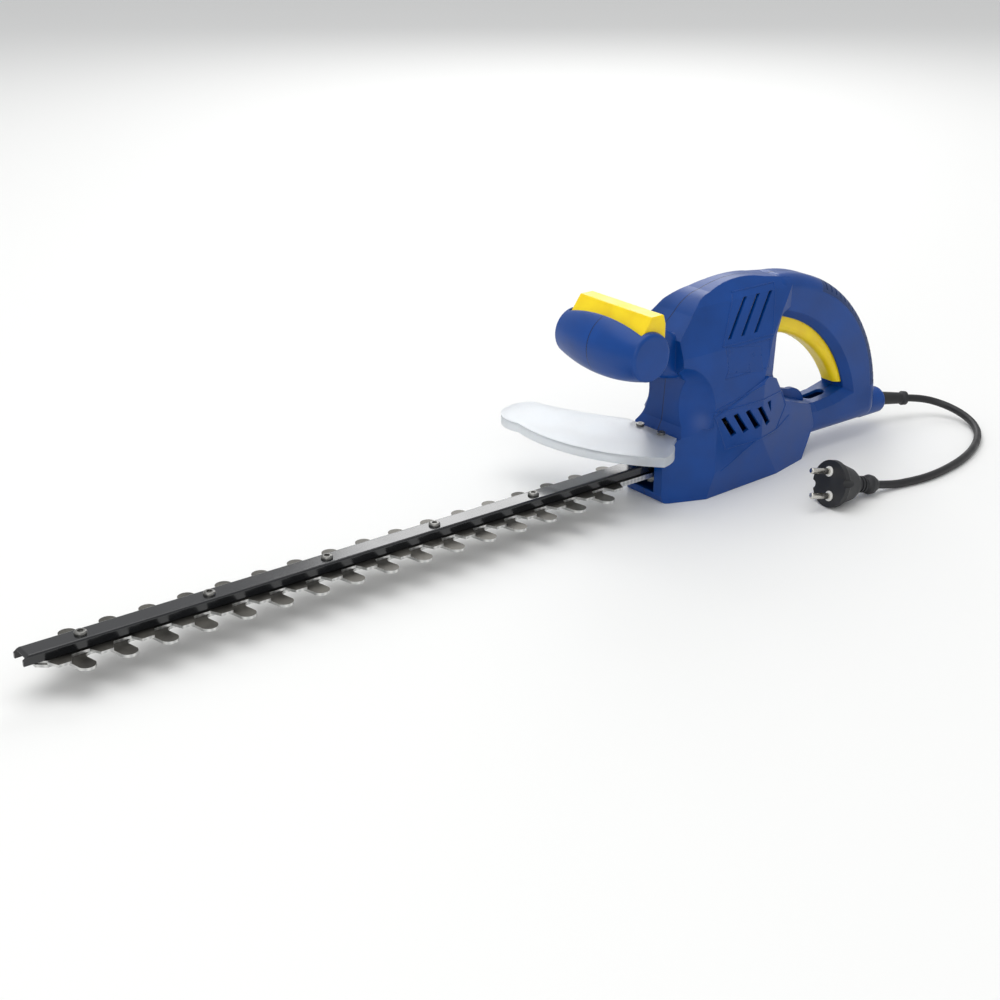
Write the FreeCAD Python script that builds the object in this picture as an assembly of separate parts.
"""Electric hedge trimmer: clamshell housing, D handle, front T handle, guard, drive and blades.

Millimetres. +Z up, blades along -X, the flat base rests on Z = 0 with its centre at the origin.
The left half of the housing is on -Y.
"""
import FreeCAD, Part
import math
import os

V = FreeCAD.Vector
X_AXIS, Y_AXIS, Z_AXIS = V(1, 0, 0), V(0, 1, 0), V(0, 0, 1)

# ---- driving dimensions -------------------------------------------------------------
# housing
WALL = 2.6                  # moulded wall
BASE_FRONT_X = -72.0        # front edge of the flat base
BASE_REAR_X = 82.0          # rear edge of the flat base
NOSE_X = -74.0              # front face, where the blades come out
LEDGE_Z = 52.0              # ledge that the guard lies on
LOWER_HALF_W = 37.0         # half width of the motor body
LOWER_TOP_Z = 88.5          # highest point of the wide motor body
NOSE_HALF_W = 23.0          # half width at the front face
BASE_HALF_W = 29.0          # half width of the flat base
CREASE_FRONT_X = -91.0      # crease along each side, from here on the base line
CREASE_REAR_X, CREASE_REAR_Z = 18.0, 40.0   # to this point on the side
# half width of the tower's sides at each height where their slope changes
TOWER_SIDES = ((36.0, 78.0), (30.0, 118.0), (18.0, 151.0), (8.0, 164.0))
TOWER_FRONT_X = -66.0
NECK_TAIL_HALF_W = 17.0     # where the tower has narrowed into the arch
TOP_Z = 164.0               # top of the tower
SCOOP_R = 39.0              # round hollow on each side of the neck
SCOOP_X, SCOOP_Y, SCOOP_Z = -71.0, 53.0, 80.0
NECK_HALF_W = 21.0
# D handle
HANDLE_HALF_W = 18.0
HANDLE_ROUND = 11.0         # rounding of the handle's long edges
HOLE_FLARE = 6.0            # bevel round the hand hole
ARCH_X, ARCH_Z = 56.0, 38.0  # centre of the arch's outer circle
ARCH_R = 121.5
ARCH_FLAT = 3.5             # the arch is this much flatter than a circle at its middle
RAIL_Z = 15.0               # underside of the rail below the hand hole
GRIP_SKIN = 1.4             # soft skin on the back of the handle
GRIP_DEPTH = 12.0           # how far the skin reaches down the sides
GRIP_FROM, GRIP_TO = 4.0, 68.0   # degrees round the arch
GRIP_PITCH = 3.5            # degrees between grooves
GROOVE_DEPTH = 0.7
HOOK_HALF_W = 3.0           # cord hook in the hand hole
HOOK_HOLE_R = 5.0           # slot behind the hook
LABEL_T = 0.8
BOSS_R = 11.5               # round boss that the cord leaves through
BOSS_X = 197.5
BOSS_Z = 22.0
# front T handle
BARREL_X, BARREL_Z = -112.0, 132.5
BARREL_HALF_L = 45.0
BARREL_MID_R = 24.3
BARREL_END_R = 18.5
BARREL_EDGE_R = 3.0
# front switch bar
SWITCH_HALF_L = 40.0
SWITCH_X = -107.0
SWITCH_HALF_W = 12.0
SWITCH_FOOT_Z = 140.0       # lowest point of the bar at rest
SWITCH_TOP_Z = 161.5
SWITCH_TRAVEL = 4.0
SPRING_FLOOR_Z = 128.0      # floor in the barrel that the return springs stand on
# rear trigger
TRIGGER_HALF_W = 10.0
TRIGGER_ROUND = 6.0
TRIGGER_PIVOT_X, TRIGGER_PIVOT_Z = 57.0, 133.0
TRIGGER_PIN_R = 2.5
TRIGGER_SWING = 3.5         # degrees
SWITCH_SEAT_R, SWITCH_SEAT_ANGLE = 104.5, 40.0   # rear switch, on the arch's circle
# clearances
SLIDE_GAP = 0.6             # between a moving plastic piece and the housing
FIT_GAP = 0.3               # between fixed pieces that sit in one another
RUN_GAP = 0.05              # radial running clearance on shafts and pins
# blades
BLADE_TIP_X = -586.0
TOOTH_PITCH = 28.0
TOOTH_HALF_W = 6.0
TOOTH_ROUND_Y = 22.7        # centre of a long tooth's round end
TOOTH_REAR_X = -96.5        # last tooth of the far row
TOOTH_STAGGER = 8.0         # near row ahead of the far row
FAR_TEETH = 17
NEAR_TEETH = 16
COMB_Z = 19.0
PLATE_T = 2.0               # comb blade
CUTTER_T = 1.9
PLATE_GAP = 0.1
STRIP_HALF_W = 9.5
CUTTER_TOOTH_TIP_Y = 17.5
CUTTER_LEAD = 11.5          # each short tooth is this far ahead of a long one
CUTTER_LAST_X = -116.0      # single short tooth behind the near row
STROKE = 16.0
BAR_HALF_W = 7.75
BAR_T = 1.8
BAR_TOP_Z = 30.0
BAR_REAR_X = -48.0
BOLT_PITCH = 90.0
FIRST_BOLT_X = -545.0
BLADE_BOLTS = 5
MOUNT_BOLT_XS = (-66.0, -54.0)
MOUTH_HALF_W = 11.0         # half width of the opening that the blades leave through
BOLT_R = 2.4
BOLT_HEAD_R = 4.2
BOLT_HEAD_H = 2.2
NUT_ACROSS = 7.0
NUT_H = 3.2
SPACER_R = 3.4
# gears
MODULE = 1.0
GEAR_TEETH = 46
PINION_TEETH = 10
MOTOR_X = -2.0
GEAR_Z = 33.5
GEAR_T = 6.0
GEAR_SHAFT_R = 4.0
CRANK_PIN_R = 4.0
CASE_FLOOR_T = 4.0
CASE_WALL = 2.5
CASE_TOP_Z = 42.0
CASE_TOP_T = 3.0
CASE_EAR_R = 4.5
CASE_SCREW_R = 1.9
# motor
SHAFT_R = 4.0
PINION_BORE_R = 2.5         # stepped end of the shaft
BEARING_R = 9.5
BEARING_T = 6.0
STATOR_HALF = 25.0
STATOR_Z = 64.0
STATOR_L = 36.0
STATOR_BORE_R = 16.5
ARMATURE_R = 16.0
COMMUTATOR_R = 10.0
COMMUTATOR_L = 12.0
BRUSH_HOLDER_Y = 22.5
CAPACITOR_Z = 136.0
FAN_R = 22.0
FAN_Z = 52.0
FAN_T = 7.0
UPPER_BEARING_Z = 126.0
UPPER_BEARING_R = 8.0
# cord and plug
CORD_R = 3.2
SLEEVE_L = 31.0
SLEEVE_ROOT_R = 6.2
CLAMP_X = 162.0
PLUG_FLANGE_R = 18.4
PIN_R = 2.4
PIN_L = 19.0
PIN_SPACING = 19.0
PIN_STEM_R = 1.9            # stem inside the plug
PIN_ROOT = 10.0             # how deep the stem goes
PIN_FOOT = 1.3              # the full thickness starts this far from the plug's face
PIN_TIP_ROUND = 1.2
COLLAR_R = 4.0              # white collar round each stem
COLLAR_PROUD = 0.8

GEAR_X = MOTOR_X - MODULE * (GEAR_TEETH + PINION_TEETH) / 2
CUTTER_Z = COMB_Z + PLATE_T + PLATE_GAP
COMMUTATOR_Z = STATOR_Z + STATOR_L + 8
CUTTER_TOP_Z = CUTTER_Z + CUTTER_T
BAR_FOOT_Z = CUTTER_TOP_Z + 0.3
CASE_FLOOR_Z = COMB_Z - CASE_FLOOR_T
GEAR_TIP_R = MODULE * (GEAR_TEETH / 2 + 0.8)
PINION_TIP_R = MODULE * (PINION_TEETH / 2 + 0.8)
CASE_CAVITY_R = GEAR_TIP_R + 1.7
CASE_R = CASE_CAVITY_R + CASE_WALL


# ---- shape helpers --------------------------------------------------------------------
def outline(*steps):
    """Closed wire in the XZ plane. A step is (x, z), or (mid x, mid z, x, z) for an arc."""
    here = V(steps[0][0], 0, steps[0][1])
    start = here
    edges = []
    for step in steps[1:]:
        there = V(step[-2], 0, step[-1])
        if len(step) == 4:
            edges.append(Part.Arc(here, V(step[0], 0, step[1]), there).toShape())
        else:
            edges.append(Part.LineSegment(here, there).toShape())
        here = there
    if here.distanceToPoint(start) > 1e-6:
        edges.append(Part.LineSegment(here, start).toShape())
    return Part.Wire(edges)


def slab(wire, half_width, inset=0.0, rounding=0.0):
    """Solid between -half_width and +half_width, shrunk by inset, with its side edges rounded."""
    face = Part.Face(wire)
    if inset:
        face = face.makeOffset2D(-inset, 2)
    half = half_width - inset
    face.translate(V(0, -half, 0))
    solid = face.extrude(V(0, 2 * half, 0))
    radius = rounding - inset
    if radius > 0.5:
        sides = [e for e in solid.Edges if all(abs(abs(v.Y) - half) < 1e-4 for v in e.Vertexes)]
        solid = solid.makeFillet(radius, sides)
    return solid


def block(x0, x1, y0, y1, z0, z1):
    return Part.makeBox(x1 - x0, y1 - y0, z1 - z0, V(x0, y0, z0))


def post(x, z, radius, y0, y1):
    """Round bar along Y."""
    return Part.makeCylinder(radius, y1 - y0, V(x, y0, z), Y_AXIS)


def drum(x, y, z0, z1, radius):
    """Round bar along Z."""
    return Part.makeCylinder(radius, z1 - z0, V(x, y, z0), Z_AXIS)


def fused(solids):
    first, rest = solids[0], solids[1:]
    return first.fuse(rest).removeSplitter() if rest else first


def plate(points, z, thickness):
    """Flat plate from points (x, y), lying at height z."""
    corners = [V(x, y, z) for x, y in points]
    return Part.Face(Part.makePolygon(corners + corners[:1])).extrude(V(0, 0, thickness))


def turned(profile, centre, axis):
    """Solid of revolution: profile holds (distance along axis, radius) from one end to the other."""
    side = V(1, 0, 0) if abs(axis.x) < 0.9 else V(0, 1, 0)
    side = (side - axis * side.dot(axis)).normalize()
    points = [centre + axis * profile[0][0]]
    points += [centre + axis * along + side * radius for along, radius in profile]
    points += [centre + axis * profile[-1][0]]
    face = Part.Face(Part.makePolygon(points + points[:1]))
    return face.revolve(centre, axis, 360)


# ---- housing form -----------------------------------------------------------------------
def half_space(point, normal):
    """Large block on the side of a plane that its normal points to."""
    face = Part.Face(Part.makePolygon([V(-400, -400, 0), V(400, -400, 0), V(400, 400, 0),
                                       V(-400, 400, 0), V(-400, -400, 0)]))
    solid = face.extrude(V(0, 0, 400))
    solid.Placement = FreeCAD.Placement(point, FreeCAD.Rotation(Z_AXIS, normal))
    return solid


def motor_body(inset):
    """Wide lower body: flat base, front nose with the guard's ledge, slanted lower sides."""
    side = outline((BASE_FRONT_X, 0), (BASE_REAR_X, 0), (98, 26), (90, 46), (50, 60), (33, 84),
                   (22, LOWER_TOP_Z), (-46, 64), (-58, 60), (-62, LEDGE_Z),
                   (NOSE_X, LEDGE_Z), (NOSE_X, 6))
    body = slab(side, LOWER_HALF_W, inset, 1.6)
    nose, wide, tail = NOSE_HALF_W - inset, LOWER_HALF_W - inset, HANDLE_HALF_W - inset
    plan = plate([(NOSE_X - 1, -nose + 4), (NOSE_X + 5, -nose), (-34, -wide), (16, -wide),
                  (98, -tail), (98, tail), (16, wide), (-34, wide), (NOSE_X + 5, nose),
                  (NOSE_X - 1, nose - 4)], -1, LOWER_TOP_Z + 2)
    body = body.common(plan)
    for way in (-1, 1):
        along = V(CREASE_REAR_X - CREASE_FRONT_X, 0, CREASE_REAR_Z)
        down = V(BASE_REAR_X - CREASE_FRONT_X, way * (BASE_HALF_W - LOWER_HALF_W), 0)
        normal = along.cross(down).normalize()
        if normal.y * way < 0:
            normal = normal * -1
        corner = V(CREASE_FRONT_X, way * LOWER_HALF_W, 0) - normal * inset
        body = body.cut(half_space(corner, normal))
    return body


def tower(inset):
    """Upper body: slanted front, sides that lean in, and the slope that leads into the handle."""
    side = outline((-58, 58), (-55, 97), (TOWER_FRONT_X, 107), (TOWER_FRONT_X, 131), (-49, 146),
                   (-40, 153.5, -24, 159), (4, TOP_Z, 36, TOP_Z - 3), (62, TOP_Z - 7), (60, 134),
                   (45, 132), (36, 118), (33, 86), (50, 64))
    body = slab(side, TOWER_SIDES[0][0], inset, 0.0)
    for (wide, low), (narrow, high) in zip(TOWER_SIDES, TOWER_SIDES[1:]):
        for way in (-1, 1):
            normal = V(0, way * (high - low), wide - narrow).normalize()
            body = body.cut(half_space(V(0, way * wide, low) - normal * inset, normal))
    wide, tail = LOWER_HALF_W - inset, NECK_TAIL_HALF_W - inset
    plan = plate([(-90, -wide), (12, -wide), (63, -tail), (63, tail), (12, wide), (-90, wide)],
                 0, TOP_Z + 5)
    return body.common(plan)


def arch_point(radius, degrees):
    """Point at an angle above the horizontal on a circle about the arch's centre."""
    turn = math.radians(degrees)
    return ARCH_X + radius * math.cos(turn), ARCH_Z + radius * math.sin(turn)


def handle_ring_outline():
    return outline((44, 60), (44, ARCH_Z + ARCH_R), (ARCH_X - 6, ARCH_Z + ARCH_R),
                   arch_point(ARCH_R - ARCH_FLAT, 45) + arch_point(ARCH_R, 0),
                   (ARCH_X + ARCH_R, RAIL_Z),
                   (70, RAIL_Z), (60, 30))


def hand_hole_outline():
    return outline((45, 129), (34, 114, 35, 86), (57, 60), (84, 45), (102, 42.5), (120, 44), (138, 48),
                   (110, 95, 65, 122.5), (58, 125))


def handle_ring(inset):
    """D handle: arch, rail below it and the hand hole between them."""
    ring = slab(handle_ring_outline(), HANDLE_HALF_W, inset, HANDLE_ROUND)
    hole = Part.Face(hand_hole_outline())
    if inset:
        hole = hole.makeOffset2D(inset, 2)
    wide = hole.makeOffset2D(HOLE_FLARE, 2)
    cutters = [hole.copy()]
    cutters[0].translate(V(0, -40, 0))
    cutters[0] = cutters[0].extrude(V(0, 80, 0))
    for way in (-1, 1):
        inner, outer = hole.OuterWire.copy(), wide.OuterWire.copy()
        inner.translate(V(0, way * (HANDLE_HALF_W - inset - HOLE_FLARE), 0))
        outer.translate(V(0, way * (HANDLE_HALF_W - inset), 0))
        cutters.append(Part.makeLoft([inner, outer], True, True))
    return ring.cut(cutters)


def cord_boss(inset):
    """Round boss at the back, in line with the cord."""
    radius, length = BOSS_R - inset, 26.0
    boss = Part.makeCylinder(radius, length - inset, V(BOSS_X - length, 0, BOSS_Z), X_AXIS)
    if radius - 4 > 1:
        rim = [e for e in boss.Edges if e.BoundBox.XMin > BOSS_X - 2 - inset]
        boss = boss.makeFillet(3.5 if not inset else 1.5, rim)
    return boss


def neck(inset):
    """Bridge from the tower to the front handle."""
    side = outline((-50, 99), (-78, 103, -98, 116), (-101, 149), (-82, 144, -62, 134), (-50, 134))
    return slab(side, NECK_HALF_W, inset, 7.0)


def barrel(inset):
    """Front handle: a round bar along Y, fuller in the middle, with rounded rims."""
    half, end, mid = BARREL_HALF_L - inset, BARREL_END_R - inset, BARREL_MID_R - inset
    rim = max(BARREL_EDGE_R - inset, 0.4)
    edges = [
        Part.LineSegment(V(0, -half, 0), V(0, -half, end - rim)).toShape(),
        Part.Arc(V(0, -half, end - rim), V(0, -half + 0.3 * rim, end - 0.3 * rim),
                 V(0, -half + rim, end)).toShape(),
        Part.Arc(V(0, -half + rim, end), V(0, 0, mid), V(0, half - rim, end)).toShape(),
        Part.Arc(V(0, half - rim, end), V(0, half - 0.3 * rim, end - 0.3 * rim),
                 V(0, half, end - rim)).toShape(),
        Part.LineSegment(V(0, half, end - rim), V(0, half, 0)).toShape(),
        Part.LineSegment(V(0, half, 0), V(0, -half, 0)).toShape()]
    solid = Part.Face(Part.Wire(edges)).revolve(V(0, 0, 0), Y_AXIS, 360)
    solid.translate(V(BARREL_X, 0, BARREL_Z))
    return solid


def scoops(extra):
    """Round hollows that leave a slim neck above the guard's ledge."""
    cutters = []
    for side in (-1, 1):
        ball = Part.makeSphere(SCOOP_R + extra, V(SCOOP_X, side * SCOOP_Y, SCOOP_Z))
        cutters.append(ball.cut(block(-200, 100, -150, 150, 0, LEDGE_Z + 0.5 - extra)))
    return cutters


def housing_form(inset):
    """Whole outer form, or the same form shrunk by inset for the hollow."""
    core = fused([motor_body(inset), tower(inset)]).cut(scoops(inset))
    return fused([core, handle_ring(inset), cord_boss(inset), neck(inset), barrel(inset)])


# ---- housing halves ---------------------------------------------------------------------
SCREW_PLACES = ((66.0, 12.0), (-45.0, 9.0), (38.0, 66.0), (-12.0, 150.0), (-44.0, 132.0),
                (108.0, 24.0), (122.0, 127.0), (150.0, 33.5), (-86.0, 124.0))
SCREW_R = 1.5
SCREW_HEAD_R = 3.4
SCREW_SEAT_Y = 12.0
BOSS_POST_R = 4.6
GUARD_SCREWS = ((-69.0, -12.0), (-69.0, 12.0))


def vents():
    """Slanted slots through both sides: three in the tower, five in the motor body."""
    cutters = []
    for k in range(3):
        x = -18.0 + 14.0 * k
        cutters.append(slab(outline((x, 124), (x + 3.8, 124), (x + 28.3, 151), (x + 24.5, 151)), 60))
    for k in range(4):
        x = -30.0 + 13.2 * k
        cutters.append(slab(outline((x, 65), (x + 4.6, 66), (x + 17.6, 49.5), (x + 12.4, 47.5)), 60))
    cutters.append(slab(outline((22, 67), (27, 67.5), (28, 57)), 60))
    return cutters


def stator_block():
    half = STATOR_HALF
    body = block(MOTOR_X - half, MOTOR_X + half, -half, half, STATOR_Z, STATOR_Z + STATOR_L)
    corners = [e for e in body.Edges if e.BoundBox.ZLength > 1]
    return body.makeFillet(12.0, corners)


def ribs(form):
    """Ribs, saddles and screw posts inside both halves, trimmed to the housing's form."""
    pieces = []
    for z in (STATOR_Z + 3, STATOR_Z + STATOR_L - 6):
        rib = block(MOTOR_X - 34, MOTOR_X + 34, -40, 40, z, z + 2)
        pieces.append(rib.cut(stator_block()))
    saddle = block(MOTOR_X - 13, MOTOR_X + 13, -40, 40, UPPER_BEARING_Z, UPPER_BEARING_Z + 5)
    pieces.append(saddle.cut(drum(MOTOR_X, 0, 100, 160, UPPER_BEARING_R)))
    pieces.append(block(12, 36, -40, 40, CAPACITOR_Z - 2, CAPACITOR_Z))
    brush_z = COMMUTATOR_Z + COMMUTATOR_L / 2
    for way in (-1, 1):
        y0, y1 = sorted((way * BRUSH_HOLDER_Y, way * 40))
        pieces.append(block(MOTOR_X - 6, MOTOR_X + 6, y0, y1, brush_z - 5, brush_z + 5))
        y0, y1 = sorted((way * 13, way * 23))
        pieces.append(block(GEAR_X - 6, GEAR_X + 6, y0, y1, 0, CASE_FLOOR_Z))
        y0, y1 = sorted((way * CASE_R, way * 45))
        pieces.append(block(GEAR_X - 2, GEAR_X + 2, y0, y1, 20, 42))
    pieces.append(block(BARREL_X - 40, BARREL_X + 40, -38, 38, SPRING_FLOOR_Z - 2, SPRING_FLOOR_Z)
                  .common(barrel(WALL / 2)))
    for way in (-1, 1):
        y0, y1 = sorted((way * 3.7, way * 9.5))
        pieces.append(block(CLAMP_X - 5, CLAMP_X + 5, y0, y1, RAIL_Z, BOSS_Z))
    for x, z in SCREW_PLACES:
        pieces.append(post(x, z, BOSS_POST_R, -60, 60))
    return [piece.common(form) for piece in pieces]


def label_seat(margin):
    """Shallow flat seat for the label on the left side."""
    corners = outline((-22, 119), (15, 113), (17, 93), (-20, 99))
    skin = slab(corners, 60, -margin).common(tower(0.0)).cut(tower(LABEL_T))
    return skin.common(half_space(V(0, 0, 0), V(0, -1, 0)))


def label_plate():
    """Blank rating label."""
    return largest(label_seat(0.0))


def grip_zone():
    """Sector of the arch that the soft grip covers."""
    corners = []
    for radius, angles in ((ARCH_R + 10, (GRIP_FROM, GRIP_TO)), (ARCH_R - GRIP_DEPTH, (GRIP_TO, GRIP_FROM))):
        middle = (GRIP_FROM + GRIP_TO) / 2
        start, end = arch_point(radius, angles[0]), arch_point(radius, angles[1])
        corners += [start if not corners else start, arch_point(radius, middle) + end]
    return slab(outline(*corners), 60)


def rear_grip():
    """Soft skin let into the back of the handle, with grooves across it."""
    ring = handle_ring(0.0)
    skin = ring.common(grip_zone()).cut(handle_ring(GRIP_SKIN))
    grooves = []
    count = int((GRIP_TO - GRIP_FROM) / GRIP_PITCH)
    for k in range(count):
        groove = block(ARCH_R - GRIP_DEPTH + 2.5, ARCH_R + 5, -40, 40, -0.9, 0.9)
        groove.rotate(V(0, 0, 0), Y_AXIS, -(GRIP_FROM + GRIP_PITCH * (k + 0.5)))
        groove.translate(V(ARCH_X, 0, ARCH_Z))
        grooves.append(groove)
    skin = skin.cut(Part.makeCompound(grooves).cut(handle_ring(GROOVE_DEPTH)))
    skin = skin.cut([post(x, z, SCREW_HEAD_R + 0.2, SCREW_SEAT_Y, 60) for x, z in SCREW_PLACES])
    return [largest(skin.common(half_space(V(0, 0, 0), V(0, way, 0)))) for way in (-1, 1)]


def cord_hook():
    """Fin on the rail, under the hand hole, that a loop of the extension lead hangs on."""
    side = outline((99, 28), (101, 38), (96, 51, 82, 56), (71, 59), (70, 55), (77, 50, 80, 40),
                   (82, 28))
    return slab(side, HOOK_HALF_W, 0, 1.0)


def housing_cuts():
    """Everything cut out of the finished walls: blade mouth, slots, pockets and holes."""
    cutters = vents()
    cutters.append(label_seat(0.0))
    cutters.append(handle_ring(0.0).common(grip_zone()).cut(handle_ring(GRIP_SKIN)))
    cutters.append(cord_hook())
    hole_ends = [drum(x, 0, RAIL_Z + 17, 60, HOOK_HOLE_R) for x in (109.0, 121.0)]
    cutters += hole_ends + [block(109, 121, -HOOK_HOLE_R, HOOK_HOLE_R, RAIL_Z + 17, 60)]
    cutters.append(block(NOSE_X - 5, NOSE_X + 14, -MOUTH_HALF_W, MOUTH_HALF_W, 7, 44))
    cutters.append(block(SWITCH_X - SWITCH_HALF_W - SLIDE_GAP, SWITCH_X + SWITCH_HALF_W + SLIDE_GAP,
                         -SWITCH_HALF_L - SLIDE_GAP, SWITCH_HALF_L + SLIDE_GAP,
                         SWITCH_FOOT_Z - 8, 190))
    cutters.append(slab(trigger_pocket_outline(), TRIGGER_HALF_W + SLIDE_GAP))
    cutters.append(post(TRIGGER_PIVOT_X, TRIGGER_PIVOT_Z, TRIGGER_PIN_R, -14, 14))
    cutters.append(Part.makeCylinder(SLEEVE_ROOT_R, 20, V(BOSS_X - 12, 0, BOSS_Z), X_AXIS))
    cutters.append(Part.makeCylinder(CORD_R + FIT_GAP, 30, V(BOSS_X - 34, 0, BOSS_Z), X_AXIS))
    cutters += [switch_case(), switch_knob(FIT_GAP)]
    for x, y in GUARD_SCREWS:
        cutters.append(drum(x, y, LEDGE_Z - 9, LEDGE_Z + 1, 1.5))
    for x, z in SCREW_PLACES:
        cutters.append(post(x, z, SCREW_R, -14, 60))
        cutters.append(post(x, z, SCREW_HEAD_R + 0.2, SCREW_SEAT_Y, 60))
    return cutters


def housing():
    form = housing_form(0.0)
    hollow = housing_form(WALL)
    walls = form.cut(hollow)
    pocket_wall = slab(trigger_pocket_outline().makeOffset2D(2.0, 2), TRIGGER_HALF_W + 2.6)
    whole = walls.fuse(ribs(form) + [pocket_wall.common(form)])
    for cutter in housing_cuts():
        whole = whole.cut(cutter)
    left = whole.common(half_space(V(0, 0, 0), V(0, -1, 0)))
    right = whole.common(half_space(V(0, 0, 0), V(0, 1, 0)))
    return largest(left), largest(right)


def largest(shape):
    return max(shape.Solids, key=lambda solid: solid.Volume)


def housing_screws():
    solids = []
    for x, z in SCREW_PLACES:
        shank = post(x, z, SCREW_R, -12, SCREW_SEAT_Y)
        head = post(x, z, SCREW_HEAD_R, SCREW_SEAT_Y, SCREW_SEAT_Y + 2.4)
        solids.append(shank.fuse(head).cut(cross_recess(V(x, SCREW_SEAT_Y + 2.4, z), Y_AXIS)))
    return Part.makeCompound(solids)


def cross_recess(top, axis):
    """Cross slot cut into a screw's head, which faces along axis."""
    arms = []
    for length, width in ((3.6, 0.9), (0.9, 3.6)):
        arm = block(-length / 2, length / 2, -width / 2, width / 2, -1.3, 1)
        arm.Placement = FreeCAD.Placement(top, FreeCAD.Rotation(Z_AXIS, axis))
        arms.append(arm)
    return arms[0].fuse(arms[1])


# ---- front switch -------------------------------------------------------------------------
def front_switch_bar():
    front, rear = SWITCH_X - SWITCH_HALF_W, SWITCH_X + SWITCH_HALF_W
    side = outline((front, SWITCH_FOOT_Z), (rear, SWITCH_FOOT_Z), (rear, SWITCH_TOP_Z - 7),
                   (rear - 2, SWITCH_TOP_Z), (front + 10, SWITCH_TOP_Z), (front, SWITCH_FOOT_Z + 8))
    return slab(side, SWITCH_HALF_L, 0, 1.2)


def coil_spring(base, axis, radius, wire_r, length, turns):
    """Compression spring standing on base along axis."""
    helix = Part.makeHelix((length - 2 * wire_r) / turns, length - 2 * wire_r, radius)
    ring = Part.Wire(Part.makeCircle(wire_r, V(radius, 0, 0), V(0, 1, 0)))
    spring = Part.Wire(helix).makePipeShell([ring], True, True)
    spring.translate(V(0, 0, wire_r))
    spring.Placement = FreeCAD.Placement(base, FreeCAD.Rotation(Z_AXIS, axis)).multiply(spring.Placement)
    return spring


def front_switch_springs():
    return Part.makeCompound([
        coil_spring(V(SWITCH_X, y, SPRING_FLOOR_Z + 0.1), Z_AXIS, 3.0, 0.45,
                    SWITCH_FOOT_Z - SPRING_FLOOR_Z - 0.2, 5) for y in (-28.0, 28.0)])


def front_microswitch():
    floor = SPRING_FLOOR_Z
    body = block(SWITCH_X - 3.2, SWITCH_X + 3.2, -10, 10, floor, floor + 6)
    terminals = [block(SWITCH_X - 1.5, SWITCH_X + 1.5, way * 12 - 2, way * 12 + 2, floor + 2, floor + 3)
                 for way in (-1, 1)]
    return fused([body, drum(SWITCH_X, 4, floor + 6, floor + 7.6, 1.2)] + terminals)


# ---- rear trigger ----------------------------------------------------------------------------
def trigger_outline():
    return outline((50, 112), (64, 108.5), (98, 91.5, 131, 53), (144, 53), (117.5, 113, 64, 139),
                   (50, 139))


def trigger_pocket_outline():
    return outline((48, 104), (60, 104), (100, 76), (122, 51.5), (151, 51.5),
                   (124, 118, 70, 143), (48, 143))


def rear_trigger():
    body = slab(trigger_outline(), TRIGGER_HALF_W, 0, 0)
    front = [e for e in body.Edges if abs(e.BoundBox.YLength) < 0.01
             and e.CenterOfMass.distanceToPoint(V(101, e.CenterOfMass.y, 86)) < 8]
    body = body.makeFillet(TRIGGER_ROUND, front)
    x, z = TRIGGER_PIVOT_X, TRIGGER_PIVOT_Z
    eye = post(x, z, TRIGGER_PIN_R + RUN_GAP, -20, 20)
    spring_well = post(x, z, 6.5, -3.5, 3.5)
    return body.cut([eye, spring_well])


def trigger_spring():
    """Torsion spring wound round the trigger's pin."""
    return coil_spring(V(TRIGGER_PIVOT_X, -3.0, TRIGGER_PIVOT_Z), Y_AXIS, 3.5, 0.5, 6.0, 3)


def trigger_pin():
    return post(TRIGGER_PIVOT_X, TRIGGER_PIVOT_Z, TRIGGER_PIN_R, -14, 14)


def switch_placement():
    """Place of the rear switch: behind the trigger, square to the arch."""
    x, z = arch_point(SWITCH_SEAT_R, SWITCH_SEAT_ANGLE)
    return FreeCAD.Placement(V(x, 0, z), FreeCAD.Rotation(Y_AXIS, 90 - SWITCH_SEAT_ANGLE))


def switch_case():
    case = block(-9, 9, -3.2, 3.2, 0, 7)
    case.Placement = switch_placement()
    return case


def switch_knob(gap):
    """Button on the switch's face, or the notch that leaves it room."""
    knob = block(-3 - gap, gap, -1.5 - gap, 1.5 + gap, -1.2 - gap, 0)
    knob.Placement = switch_placement()
    return knob


def rear_microswitch():
    return switch_case().fuse(switch_knob(0))


# ---- hand guard -------------------------------------------------------------------------------
GUARD_T = 2.4
GUARD_RIM = 5.0


def guard_outline():
    """Plan of the guard: short on the near side, a long wing swept forward on the far side."""
    places = [(-66.0, -26.0), (-76.0, -33.0), (-88.0, -46.0, -101.0, -50.5),
              (-136.0, 5.0, -141.0, 74.0), (-128.0, 108.0, -100.0, 105.0), (-88.0, 70.0, -74.0, 43.0),
              (-66.0, 28.0)]
    here = V(*places[0], 0)
    start, edges = here, []
    for place in places[1:] + places[:1]:
        there = V(place[-2], place[-1], 0)
        if len(place) == 4:
            edges.append(Part.Arc(here, V(place[0], place[1], 0), there).toShape())
        else:
            edges.append(Part.LineSegment(here, there).toShape())
        here = there
    return Part.Wire(edges)


def hand_guard():
    """Clear plate that lies on the ledge, with a rim turned down along its free edge."""
    face = Part.Face(guard_outline())
    sheet = face.extrude(V(0, 0, GUARD_T))
    inner = face.makeOffset2D(-GUARD_T, 2)
    skirt = face.cut(inner).extrude(V(0, 0, -GUARD_RIM))
    skirt = skirt.cut(block(NOSE_X - 3, 0, -100, 100, -20, 10))
    guard = sheet.fuse(skirt)
    guard.translate(V(0, 0, LEDGE_Z))
    holes = [drum(x, y, LEDGE_Z - 1, LEDGE_Z + 5, 1.8) for x, y in GUARD_SCREWS]
    return largest(guard.cut(holes))


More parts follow.
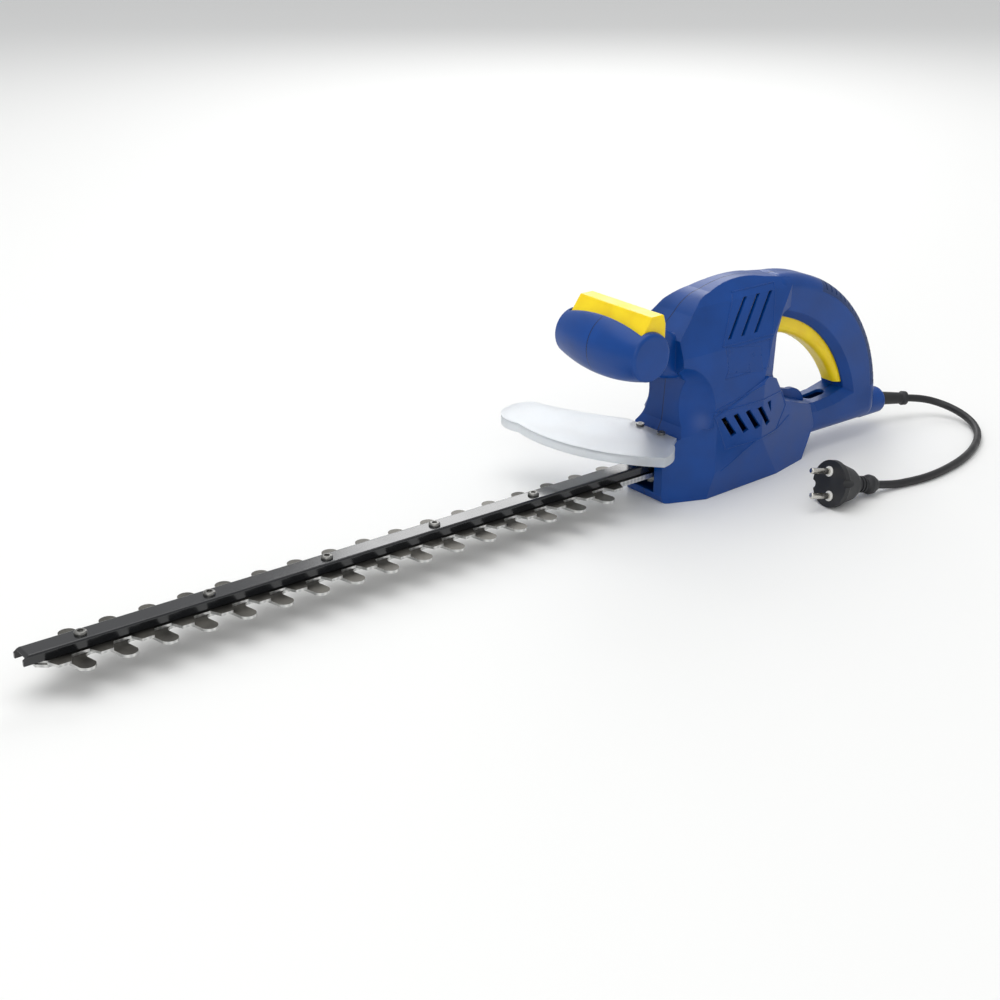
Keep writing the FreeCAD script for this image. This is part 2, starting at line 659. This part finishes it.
def guard_screws():
    solids = []
    for x, y in GUARD_SCREWS:
        top = LEDGE_Z + GUARD_T
        screw = drum(x, y, LEDGE_Z - 8, top, 1.5).fuse(drum(x, y, top, top + 2, 3.2))
        solids.append(screw.cut(cross_recess(V(x, y, top + 2), Z_AXIS)))
    return Part.makeCompound(solids)


# ---- blades --------------------------------------------------------------------------------------
def flat_wire(steps, z):
    """Closed wire at height z. A step is (x, y), or (mid x, mid y, x, y) for an arc."""
    here = V(steps[0][-2], steps[0][-1], z)
    start, edges = here, []
    for step in list(steps[1:]) + [steps[0][-2:]]:
        there = V(step[-2], step[-1], z)
        if len(step) == 4:
            edges.append(Part.Arc(here, V(step[0], step[1], z), there).toShape())
        elif here.distanceToPoint(there) > 1e-6:
            edges.append(Part.LineSegment(here, there).toShape())
        here = there
    return Part.Wire(edges)


def far_tooth_xs():
    return [TOOTH_REAR_X - TOOTH_PITCH * k for k in range(FAR_TEETH)]


def near_tooth_xs():
    return [TOOTH_REAR_X - TOOTH_STAGGER - TOOTH_PITCH * (k + 1) for k in range(NEAR_TEETH)]


def comb_tooth(x, way):
    """Long round-ended tooth, hooked on the side that faces the body."""
    half, tip = TOOTH_HALF_W, TOOTH_ROUND_Y
    return [(x + half + 4, way * STRIP_HALF_W),
            (x + half - 1, way * (STRIP_HALF_W + 2), x + half - 1.5, way * (STRIP_HALF_W + 6)),
            (x + half, way * tip), (x, way * (tip + half), x - half, way * tip),
            (x - half - 3, way * STRIP_HALF_W)]


def cutter_tooth(x, way):
    """Short trapezoid tooth just ahead of a long one."""
    centre = x - CUTTER_LEAD
    return [(centre + 8, way * STRIP_HALF_W), (centre + 4.3, way * CUTTER_TOOTH_TIP_Y),
            (centre - 4.3, way * CUTTER_TOOTH_TIP_Y), (centre - 8, way * STRIP_HALF_W)]


def toothed_strip(tooth, far_xs, near_xs, front_x, rear_x, z, thickness):
    """Strip with teeth along both edges."""
    steps = [(rear_x, STRIP_HALF_W)]
    for x in far_xs:
        steps += tooth(x, 1)
    steps += [(front_x + 6, STRIP_HALF_W), (front_x, STRIP_HALF_W - 5), (front_x, -STRIP_HALF_W + 5),
              (front_x + 6, -STRIP_HALF_W)]
    for x in reversed(near_xs):
        steps += [step[2:] + step[:2] if len(step) == 4 else step for step in mirrored(tooth(x, -1))]
    steps.append((rear_x, -STRIP_HALF_W))
    return Part.Face(flat_wire(steps, z)).extrude(V(0, 0, thickness))


def mirrored(steps):
    """The same steps walked from the last point to the first."""
    ends = [step[-2:] for step in steps]
    walked = [ends[-1]]
    for k in range(len(steps) - 1, 0, -1):
        middle = steps[k][:2] if len(steps[k]) == 4 else None
        walked.append((middle + ends[k - 1]) if middle else ends[k - 1])
    return [step[2:] + step[:2] if len(step) == 4 else step for step in walked]


def bolt_xs():
    return [FIRST_BOLT_X + BOLT_PITCH * k for k in range(BLADE_BOLTS)] + list(MOUNT_BOLT_XS)


def comb_blade():
    comb = toothed_strip(comb_tooth, far_tooth_xs(), near_tooth_xs(), BLADE_TIP_X + 8, GEAR_X - 20,
                         COMB_Z, PLATE_T)
    return comb.cut([drum(x, 0, 0, 60, BOLT_R + 0.1) for x in bolt_xs()])


def cutter_blade():
    """Moving blade: slots ride on the spacers, the yoke's cross slot is driven by the crank."""
    near = [CUTTER_LAST_X + CUTTER_LEAD] + near_tooth_xs()
    strip = toothed_strip(cutter_tooth, far_tooth_xs(), near, BLADE_TIP_X + 10, GEAR_X, CUTTER_Z,
                          CUTTER_T)
    yoke = block(GEAR_X - 8.5, GEAR_X + 8.5, -16.5, 16.5, CUTTER_Z, CUTTER_TOP_Z)
    blade = strip.fuse(yoke)
    slot_half = SPACER_R + 0.25
    reach = STROKE / 2 + 0.5
    for first, last in [(x, x) for x in bolt_xs()[:BLADE_BOLTS]] + [MOUNT_BOLT_XS]:
        blade = blade.cut([block(first - reach, last + reach, -slot_half, slot_half, 0, 60),
                           drum(first - reach, 0, 0, 60, slot_half),
                           drum(last + reach, 0, 0, 60, slot_half)])
    throw = STROKE / 2 + CRANK_PIN_R + FIT_GAP
    half = CRANK_PIN_R + FIT_GAP
    return blade.cut(block(GEAR_X - half, GEAR_X + half, -throw, throw, 0, 60)).removeSplitter()


def blade_bar():
    """Folded steel channel over the blades."""
    tip, top = BLADE_TIP_X, BAR_TOP_Z
    side = outline((tip, BAR_FOOT_Z), (BAR_REAR_X, BAR_FOOT_Z), (BAR_REAR_X, top), (tip + 4, top),
                   (tip, top - 3))
    outer = slab(side, BAR_HALF_W)
    folds = [e for e in outer.Edges if e.BoundBox.XLength > 300 and e.BoundBox.ZMin > top - 0.01]
    outer = outer.makeFillet(1.6, folds)
    inner = block(tip - 1, BAR_REAR_X + 1, -BAR_HALF_W + BAR_T, BAR_HALF_W - BAR_T, 0, top - BAR_T)
    return outer.cut([inner] + [drum(x, 0, 0, 60, BOLT_R + 0.1) for x in bolt_xs()])


def hexagon(x, z, height):
    corners = [(x + NUT_ACROSS / math.sqrt(3) * math.cos(math.radians(60 * k)),
                NUT_ACROSS / math.sqrt(3) * math.sin(math.radians(60 * k))) for k in range(6)]
    return plate(corners, z, height)


def seat_z(x):
    """Underside that a blade bolt's nut is tightened against."""
    return CASE_FLOOR_Z if x in MOUNT_BOLT_XS else COMB_Z


def blade_bolts():
    solids = []
    for x in bolt_xs():
        head = drum(x, 0, BAR_TOP_Z, BAR_TOP_Z + BOLT_HEAD_H, BOLT_HEAD_R)
        head = head.makeFillet(1.4, [e for e in head.Edges if e.BoundBox.ZMin > BAR_TOP_Z + 1])
        socket = hexagon(x, BAR_TOP_Z + 0.9, 3).common(drum(x, 0, 0, 60, 1.9))
        shank = drum(x, 0, seat_z(x) - NUT_H - 0.8, BAR_TOP_Z, BOLT_R)
        solids.append(head.fuse(shank).cut(socket))
    return Part.makeCompound(solids)


def blade_nuts():
    return Part.makeCompound([hexagon(x, seat_z(x) - NUT_H, NUT_H).cut(drum(x, 0, 0, 60, BOLT_R))
                              for x in bolt_xs()])


def blade_spacers():
    """Hardened sleeves that the moving blade's slots run on."""
    return Part.makeCompound([
        drum(x, 0, COMB_Z + PLATE_T, BAR_TOP_Z - BAR_T, SPACER_R).cut(drum(x, 0, 0, 60, BOLT_R))
        for x in bolt_xs()])


# ---- gears -----------------------------------------------------------------------------------------
def gear_blank(teeth, x, z, thickness, phase):
    """Spur gear with straight-flanked teeth, thinned for backlash."""
    tip, root = MODULE * (teeth / 2 + 0.8), MODULE * (teeth / 2 - 1.05)
    pitch = 2 * math.pi / teeth
    corners = []
    for k in range(teeth):
        middle = phase + pitch * k
        for radius, offset in ((root, -0.30), (tip, -0.13), (tip, 0.13), (root, 0.30)):
            angle = middle + offset * pitch
            corners.append((x + radius * math.cos(angle), radius * math.sin(angle)))
    return plate(corners, z, thickness)


def drive_gear():
    """Large gear with its shaft hole and the crank pin's seat."""
    gear = gear_blank(GEAR_TEETH, GEAR_X, GEAR_Z, GEAR_T, 0.0)
    lightening = [drum(GEAR_X + 13.5 * math.cos(math.radians(a)), 13.5 * math.sin(math.radians(a)),
                       0, 60, 3.4) for a in range(60, 301, 60)]
    return gear.cut([drum(GEAR_X, 0, 0, 60, GEAR_SHAFT_R)] + lightening)


def crank_pin():
    """Pin under the gear that pushes the cutter's yoke to and fro."""
    y = STROKE / 2
    return drum(GEAR_X, y, CUTTER_TOP_Z + 0.3, GEAR_Z, CRANK_PIN_R)


def gear_shaft():
    return drum(GEAR_X, 0, GEAR_Z, CASE_TOP_Z + CASE_TOP_T + 5, GEAR_SHAFT_R)


def gear_bush():
    return drum(GEAR_X, 0, CASE_TOP_Z, CASE_TOP_Z + CASE_TOP_T + 5, 6.5).cut(
        drum(GEAR_X, 0, 0, 90, GEAR_SHAFT_R + RUN_GAP))


def ear_places():
    reach = (CASE_CAVITY_R + CASE_EAR_R) * math.sqrt(0.5)
    return [(GEAR_X + sx * reach, sy * reach) for sx in (-1, 1) for sy in (-1, 1)]


def case_plan(z0, z1, grow):
    """Outline of the gear case between two heights: gear well, pinion well and screw ears."""
    pieces = [drum(GEAR_X, 0, z0, z1, CASE_CAVITY_R + grow),
              drum(MOTOR_X, 0, z0, z1, PINION_TIP_R + 1.5 + grow)]
    if grow:
        pieces += [drum(x, y, z0, z1, CASE_EAR_R) for x, y in ear_places()]
    return fused(pieces)


def gear_case():
    """Cast cover over the gears: it carries the lower motor bearing and the gear's bush."""
    top = CASE_TOP_Z + CASE_TOP_T
    cover = case_plan(COMB_Z, top, CASE_WALL).cut(case_plan(COMB_Z, CASE_TOP_Z, 0))
    bosses = [drum(GEAR_X, 0, CASE_TOP_Z, top + 5, 9.5),
              drum(MOTOR_X, 0, CASE_TOP_Z, top + BEARING_T, BEARING_R + 2.4)]
    cover = cover.fuse(bosses)
    lip = block(NOSE_X + 4, GEAR_X - 24, -MOUTH_HALF_W + 0.6, MOUTH_HALF_W - 0.6, BAR_TOP_Z + 4, 41)
    cover = cover.fuse(lip.cut(drum(GEAR_X, 0, 0, 60, CASE_CAVITY_R)))
    cuts = [drum(GEAR_X, 0, 0, 90, 6.5), drum(MOTOR_X, 0, 0, 90, SHAFT_R + 2),
            drum(MOTOR_X, 0, top, 90, BEARING_R),
            block(-90, GEAR_X - 10, -MOUTH_HALF_W + 0.6, MOUTH_HALF_W - 0.6, 0, BAR_TOP_Z + 4)]
    cuts += [drum(x, y, 0, CASE_TOP_Z - 4, CASE_SCREW_R) for x, y in ear_places()]
    return largest(cover.cut(cuts))


def gear_case_floor():
    """Steel plate under the case; its tongue carries the blades out of the nose."""
    floor = case_plan(CASE_FLOOR_Z, COMB_Z, CASE_WALL)
    tongue = block(NOSE_X + 3, GEAR_X, -MOUTH_HALF_W + 1, MOUTH_HALF_W - 1, CASE_FLOOR_Z, COMB_Z)
    cuts = [drum(x, 0, 0, 60, BOLT_R + 0.1) for x in MOUNT_BOLT_XS]
    cuts += [drum(x, y, 0, 60, CASE_SCREW_R + 0.1) for x, y in ear_places()]
    return floor.fuse(tongue).cut(cuts)


def gear_case_screws():
    solids = []
    for x, y in ear_places():
        shank = drum(x, y, CASE_FLOOR_Z, CASE_TOP_Z - 6, CASE_SCREW_R)
        solids.append(shank.fuse(drum(x, y, CASE_FLOOR_Z - 2.4, CASE_FLOOR_Z, 3.6)))
    return Part.makeCompound(solids)


# ---- motor ------------------------------------------------------------------------------------------
def stator_core():
    """Laminated field stack with two poles and the windows that the coils lie in."""
    core = stator_block().cut(drum(MOTOR_X, 0, 0, 200, STATOR_BORE_R))
    windows = [block(MOTOR_X + sx * 11.5 - 3.8, MOTOR_X + sx * 11.5 + 3.8,
                     sy * 19.5 - 2.8, sy * 19.5 + 2.8, 0, 200) for sx in (-1, 1) for sy in (-1, 1)]
    return core.cut(windows)


def field_coils():
    coils = []
    for way in (-1, 1):
        y0, y1 = sorted((way * 17.1, way * 21.9))
        ring = block(MOTOR_X - 15, MOTOR_X + 15, y0, y1, STATOR_Z - 5, STATOR_Z + STATOR_L + 5)
        ring = ring.makeFillet(2.0, [e for e in ring.Edges if e.BoundBox.YLength > 1])
        coils.append(ring.cut(block(MOTOR_X - 8, MOTOR_X + 8, y0, y1, STATOR_Z,
                                    STATOR_Z + STATOR_L)))
    return Part.makeCompound(coils)


def armature_core():
    z0, z1 = STATOR_Z + 1, STATOR_Z + STATOR_L - 1
    core = drum(MOTOR_X, 0, z0, z1, ARMATURE_R).cut(drum(MOTOR_X, 0, 0, 200, SHAFT_R))
    slots = []
    for k in range(12):
        slot = block(ARMATURE_R - 2.2, ARMATURE_R + 1, -0.8, 0.8, z0 - 1, z1 + 1)
        slot.rotate(V(0, 0, 0), Z_AXIS, 30 * k)
        slot.translate(V(MOTOR_X, 0, 0))
        slots.append(slot)
    return core.cut(slots)


def armature_windings():
    """Wound end turns above and below the core."""
    ends = []
    for z, height in ((STATOR_Z - 4.5, 5.5), (STATOR_Z + STATOR_L - 1, 6.5)):
        ring = drum(MOTOR_X, 0, z, z + height, ARMATURE_R - 2.5)
        ring = ring.makeFillet(2.2, ring.Edges[0:1] + ring.Edges[2:3])
        ends.append(ring.cut(drum(MOTOR_X, 0, 0, 200, SHAFT_R)))
    return Part.makeCompound(ends)


def commutator():
    ring = drum(MOTOR_X, 0, COMMUTATOR_Z, COMMUTATOR_Z + COMMUTATOR_L, COMMUTATOR_R)
    ring = ring.cut(drum(MOTOR_X, 0, 0, 200, SHAFT_R))
    cuts = []
    for k in range(24):
        slit = block(COMMUTATOR_R - 0.8, COMMUTATOR_R + 1, -0.25, 0.25, COMMUTATOR_Z - 1,
                     COMMUTATOR_Z + COMMUTATOR_L + 1)
        slit.rotate(V(0, 0, 0), Z_AXIS, 15 * k)
        slit.translate(V(MOTOR_X, 0, 0))
        cuts.append(slit)
    return ring.cut(cuts)


def armature_shaft():
    step = GEAR_Z + GEAR_T + 0.5
    return fused([drum(MOTOR_X, 0, step, UPPER_BEARING_Z + 7, SHAFT_R),
                  drum(MOTOR_X, 0, GEAR_Z - 1.5, step, PINION_BORE_R)])


def pinion():
    phase = math.pi / PINION_TEETH
    return gear_blank(PINION_TEETH, MOTOR_X, GEAR_Z - 0.5, GEAR_T + 1, phase).cut(
        drum(MOTOR_X, 0, 0, 90, PINION_BORE_R))


def cooling_fan():
    hub = drum(MOTOR_X, 0, FAN_Z, FAN_Z + FAN_T - 1, 7)
    disc = drum(MOTOR_X, 0, FAN_Z, FAN_Z + 1.4, FAN_R)
    vanes = []
    for k in range(10):
        vane = block(6, FAN_R - 0.5, -0.7, 0.7, FAN_Z, FAN_Z + FAN_T - 1)
        vane.rotate(V(6, 0, 0), Z_AXIS, 28)
        vane.rotate(V(0, 0, 0), Z_AXIS, 36 * k)
        vane.translate(V(MOTOR_X, 0, 0))
        vanes.append(vane)
    rim = drum(MOTOR_X, 0, FAN_Z, FAN_Z + FAN_T, FAN_R)
    return fused([hub, disc] + vanes).common(rim).cut(drum(MOTOR_X, 0, 0, 90, SHAFT_R))


def ball_bearing(z, thickness, outer):
    """Closed bearing: outer ring, shield and inner ring as one fixed ring with a running bore."""
    ring = drum(MOTOR_X, 0, z, z + thickness, outer)
    ring = ring.cut(drum(MOTOR_X, 0, 0, 200, SHAFT_R + RUN_GAP))
    for level in (z, z + thickness):
        groove = drum(MOTOR_X, 0, level - 0.4, level + 0.4, outer - 1.4)
        ring = ring.cut(groove.cut(drum(MOTOR_X, 0, 0, 200, SHAFT_R + 1.3)))
    return ring


def brush_holders():
    z = COMMUTATOR_Z + COMMUTATOR_L / 2
    solids = []
    for way in (-1, 1):
        y0, y1 = sorted((way * (COMMUTATOR_R + 1), way * BRUSH_HOLDER_Y))
        tube = block(MOTOR_X - 4.6, MOTOR_X + 4.6, y0, y1, z - 5, z + 5)
        y0, y1 = sorted((way * (COMMUTATOR_R - 1), way * 21.0))
        solids.append(tube.cut(block(MOTOR_X - 3.1, MOTOR_X + 3.1, y0, y1, z - 3.6, z + 3.6)))
    return Part.makeCompound(solids)


def carbon_brushes():
    z = COMMUTATOR_Z + COMMUTATOR_L / 2
    contact = drum(MOTOR_X, 0, 0, 200, COMMUTATOR_R + FIT_GAP)
    return Part.makeCompound([
        block(MOTOR_X - 3, MOTOR_X + 3, min(way * 8, way * 15), max(way * 8, way * 15),
              z - 3.5, z + 3.5).cut(contact) for way in (-1, 1)])


def brush_springs():
    z = COMMUTATOR_Z + COMMUTATOR_L / 2
    return Part.makeCompound([coil_spring(V(MOTOR_X, way * 15.0, z), V(0, way, 0), 2.0, 0.3, 6.0, 5)
                              for way in (-1, 1)])


# ---- wiring, cord and plug ------------------------------------------------------------------------------
def suppressor_capacitor():
    can = block(14, 34, -8, 8, CAPACITOR_Z, CAPACITOR_Z + 15)
    uprights = [e for e in can.Edges if e.BoundBox.ZLength > 1]
    return can.makeFillet(1.5, uprights)


def terminal_block():
    body = block(118, 138, -6.5, 6.5, RAIL_Z + WALL, RAIL_Z + WALL + 11)
    wells = [drum(x, y, RAIL_Z + WALL + 4, 60, 1.9) for x in (123, 133) for y in (-4, 4)]
    return body.cut(wells)


def cord_clamp():
    bridge = block(CLAMP_X - 4, CLAMP_X + 4, -9.5, 9.5, BOSS_Z, BOSS_Z + 6)
    groove = Part.makeCylinder(CORD_R, 60, V(CLAMP_X - 30, 0, BOSS_Z), X_AXIS)
    holes = [drum(CLAMP_X, y, 0, 60, 1.3) for y in (-6.6, 6.6)]
    return bridge.cut([groove] + holes)


def clamp_screws():
    return Part.makeCompound([drum(CLAMP_X, y, BOSS_Z, BOSS_Z + 6, 1.3).fuse(
        drum(CLAMP_X, y, BOSS_Z + 6, BOSS_Z + 8, 2.6)) for y in (-6.6, 6.6)])


def cord_tail():
    """Stripped end of the cord inside the handle, from the clamp to the terminal block."""
    return Part.makeCylinder(CORD_R, BOSS_X - 12 - 138, V(138, 0, BOSS_Z), X_AXIS)


SLEEVE_WAY = V(0.955, -0.26, -0.13).normalize()
SLEEVE_START = V(BOSS_X, 0, BOSS_Z)
SLEEVE_END = SLEEVE_START + SLEEVE_WAY * SLEEVE_L


def cord_sleeve():
    """Rubber strain relief: plug in the boss, tapered sleeve with grooves, collar at its end."""
    root = Part.makeCylinder(SLEEVE_ROOT_R, 12, V(BOSS_X - 12, 0, BOSS_Z), X_AXIS)
    length = SLEEVE_L
    cone = turned([(-1.2, 6.0), (length - 6, 4.9), (length - 4.5, 6.2), (length - 1.0, 6.0),
                   (length, 4.6)], SLEEVE_START, SLEEVE_WAY)
    return root.fuse(cone).removeSplitter()


PLUG_WAY = V(-0.967, 0.135, 0.217).normalize()
PLUG_FACE = V(26.0, -101.0, 18.3)
PLUG_L = 49.0
PLUG_END = PLUG_FACE - PLUG_WAY * PLUG_L
CORD_ROUTE = (
    (256.0, -25.5, 11.5), (259.5, -43.0, 7.6), (254.0, -61.0, 4.9), (241.5, -76.5, 3.6),
    (223.0, -90.0, 3.4), (200.0, -101.5, 3.4), (176.0, -109.5, 3.4), (151.0, -114.2, 3.4),
    (128.0, -115.8, 3.4), (110.0, -113.8, 3.4))


def cord_points():
    """Route of the cord's centre line from the sleeve to the plug."""
    first = SLEEVE_END + SLEEVE_WAY * 16.5
    last = PLUG_END - PLUG_WAY * 17.5
    return [SLEEVE_END, first] + [V(*point) for point in CORD_ROUTE] + [last, PLUG_END]


def mains_cord():
    """Straight runs joined by tangent arcs, each as large as its two runs allow."""
    points = cord_points()
    edges, here = [], points[0]
    for before, corner, after in zip(points, points[1:], points[2:]):
        back, ahead = before - corner, after - corner
        half_turn = (math.pi - back.getAngle(ahead)) / 2
        cut = 0.45 * min(back.Length, ahead.Length)
        radius = cut / math.tan(half_turn)
        print("cord arc radius %.1f mm, turn %.1f degrees, runs %.1f and %.1f mm" % (
            radius, math.degrees(2 * half_turn), back.Length, ahead.Length))
        back.normalize()
        ahead.normalize()
        start, end = corner + back * cut, corner + ahead * cut
        bisector = (back + ahead).normalize()
        middle = corner + bisector * (radius / math.cos(half_turn) - radius)
        edges.append(Part.LineSegment(here, start).toShape())
        edges.append(Part.Arc(start, middle, end).toShape())
        here = end
    edges.append(Part.LineSegment(here, points[-1]).toShape())
    path = Part.Wire(edges)
    ring = Part.Wire(Part.makeCircle(CORD_R, points[0], points[1] - points[0]))
    tube = path.makePipeShell([ring], True, True)
    print("cord length %.1f mm, volume ratio %.4f, lowest %.2f" % (
        path.Length, tube.Volume / (math.pi * CORD_R ** 2 * path.Length), tube.BoundBox.ZMin))
    return tube


def plug_body():
    """Moulded two-pole plug with a ribbed neck and a round collar."""
    profile = [(0, PLUG_FLANGE_R), (4.5, PLUG_FLANGE_R), (6, 17.2), (8, 16.5), (20, 12.5), (26, 8.6), (27.5, 6.6),
               (29, 6.6), (29, 5.6), (30.5, 5.6), (30.5, 6.6), (32, 6.6), (32, 5.6), (33.5, 5.6),
               (33.5, 6.6), (35, 6.6), (35, 5.6), (37, 5.6), (38.5, 7.2), (41, 7.9), (44.5, 7.2),
               (PLUG_L, 4.6)]
    body = turned(profile, PLUG_FACE, PLUG_WAY * -1)
    seats = []
    for centre in pin_places():
        seats.append(Part.makeCylinder(PIN_STEM_R, 12, centre - PLUG_WAY * PIN_ROOT, PLUG_WAY))
        seats.append(Part.makeCylinder(COLLAR_R, 3.5, centre - PLUG_WAY * 1.5, PLUG_WAY))
    notches = []
    across = PLUG_WAY.cross(pin_way())
    for way in (-1, 1):
        notches.append(Part.makeCylinder(3.2, 12, PLUG_FACE + across * (18.6 * way) + PLUG_WAY,
                                         PLUG_WAY * -1))
    return body.cut(seats + notches)


def pin_way():
    """Direction from one pin to the other: leaning 19 degrees from the plug's upright."""
    upright = (Z_AXIS - PLUG_WAY * Z_AXIS.dot(PLUG_WAY)).normalize()
    sideways = PLUG_WAY.cross(upright)
    lean = math.radians(19)
    return upright * math.cos(lean) + sideways * math.sin(lean)


def pin_places():
    return [PLUG_FACE + pin_way() * (PIN_SPACING / 2 * way) for way in (-1, 1)]


def plug_pin_collars():
    return Part.makeCompound([
        Part.makeCylinder(COLLAR_R, 1.5 + COLLAR_PROUD, centre - PLUG_WAY * 1.5, PLUG_WAY).cut(
            Part.makeCylinder(PIN_STEM_R, 9, centre - PLUG_WAY * 4, PLUG_WAY))
        for centre in pin_places()])


def plug_pins():
    """Round contact pins, each on a thinner stem that the plug is moulded round."""
    pins = []
    for centre in pin_places():
        foot = centre + PLUG_WAY * PIN_FOOT
        pin = Part.makeCylinder(PIN_R, PIN_L - PIN_FOOT, foot, PLUG_WAY)
        tip = [e for e in pin.Edges if e.CenterOfMass.distanceToPoint(centre + PLUG_WAY * PIN_L) < 1]
        pin = pin.makeFillet(PIN_TIP_ROUND, tip)
        stem = Part.makeCylinder(PIN_STEM_R, PIN_ROOT + PIN_FOOT, centre - PLUG_WAY * PIN_ROOT, PLUG_WAY)
        pins.append(pin.fuse(stem))
    return Part.makeCompound(pins)


# ---- build ----------------------------------------------------------------------------------------------
def main():
    os.makedirs("parts", exist_ok=True)
    left, right = housing()
    nodes = {"housing_left": left, "housing_right": right}
    nodes["rear_grip_left"], nodes["rear_grip_right"] = rear_grip()
    for make in (housing_screws, label_plate, cord_hook, front_switch_bar, front_switch_springs,
                 front_microswitch, rear_trigger, trigger_spring, trigger_pin, rear_microswitch,
                 hand_guard, guard_screws, comb_blade, cutter_blade, blade_bar, blade_bolts, blade_nuts, blade_spacers, drive_gear,
                 crank_pin, gear_shaft, gear_bush, gear_case, gear_case_floor, gear_case_screws,
                 stator_core, field_coils, armature_core, armature_windings, commutator,
                 armature_shaft, pinion, cooling_fan, brush_holders, carbon_brushes, brush_springs,
                 suppressor_capacitor, terminal_block, cord_clamp, clamp_screws, cord_tail,
                 cord_sleeve, mains_cord, plug_body, plug_pin_collars, plug_pins):
        nodes[make.__name__] = make()
    nodes["lower_bearing"] = ball_bearing(CASE_TOP_Z + CASE_TOP_T, BEARING_T, BEARING_R)
    nodes["upper_bearing"] = ball_bearing(UPPER_BEARING_Z, 5, UPPER_BEARING_R)
    for name, shape in nodes.items():
        print(name, "valid" if shape.isValid() else "NOT VALID", len(shape.Solids),
              round(shape.Volume, 1))
        shape.exportStep("parts/%s.step" % name)


main()
